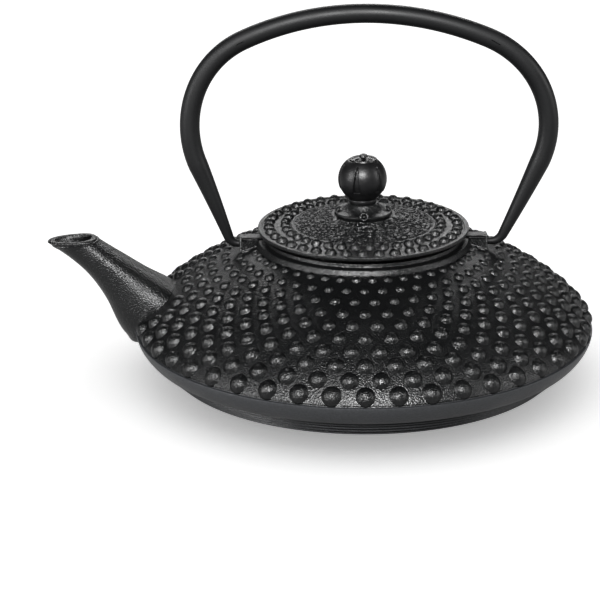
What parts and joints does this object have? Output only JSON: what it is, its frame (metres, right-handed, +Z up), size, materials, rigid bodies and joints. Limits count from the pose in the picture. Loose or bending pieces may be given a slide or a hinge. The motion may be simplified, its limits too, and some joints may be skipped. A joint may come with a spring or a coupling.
{
  "type": "cast iron teapot",
  "caption": "Low, wide cast iron teapot with a hobnail dome, short raised spout, folding bail handle, knobbed lid and steel basket infuser.",
  "frame": {"origin": "centre of the flat foot, on the surface that the pot stands on", "axes": "+Z up; the spout points along -X; the upright bail lies in the XZ plane and turns about +X"},
  "size_m": [0.2323, 0.196, 0.1606],
  "materials": {
    "cast_iron_body": "near-black satin casting with a fine sand grain",
    "cast_iron_lid": "near-black satin casting, wrinkled over the middle",
    "bail_black": "smooth satin black over forged iron",
    "knob_lacquer": "glossy black lacquer over iron",
    "steel_sheet": "pressed stainless steel, brushed",
    "steel_mesh": "fine woven stainless steel mesh"
  },
  "bodies": {
    "pot": {"pot_base": "cast_iron_body", "pot_body": "cast_iron_body", "spout": "cast_iron_body"},
    "bail": {"handle": "bail_black"},
    "infuser": {"infuser_rim": "steel_sheet", "infuser_wall": "steel_mesh", "infuser_floor": "steel_mesh", "infuser_hoop": "steel_sheet"},
    "lid": {"lid": "cast_iron_lid", "knob_seat": "knob_lacquer", "knob": "knob_lacquer", "knob_pin": "knob_lacquer", "knob_washer": "steel_sheet", "knob_nut": "steel_sheet"}
  },
  "joints": [
    {"name": "bail_fold", "type": "hinge", "parent": "pot", "child": "bail", "pos_m": [0, 0, 0.0582], "axis": [1, 0, 0], "range_deg": [-100, 100]},
    {"name": "infuser_lift", "type": "slide", "parent": "pot", "child": "infuser", "axis": [0, 0, 1], "range_m": [0, 0.027]},
    {"name": "lid_lift", "type": "slide", "parent": "infuser", "child": "lid", "axis": [0, 0, 1], "range_m": [0, 0.025]}
  ]
}
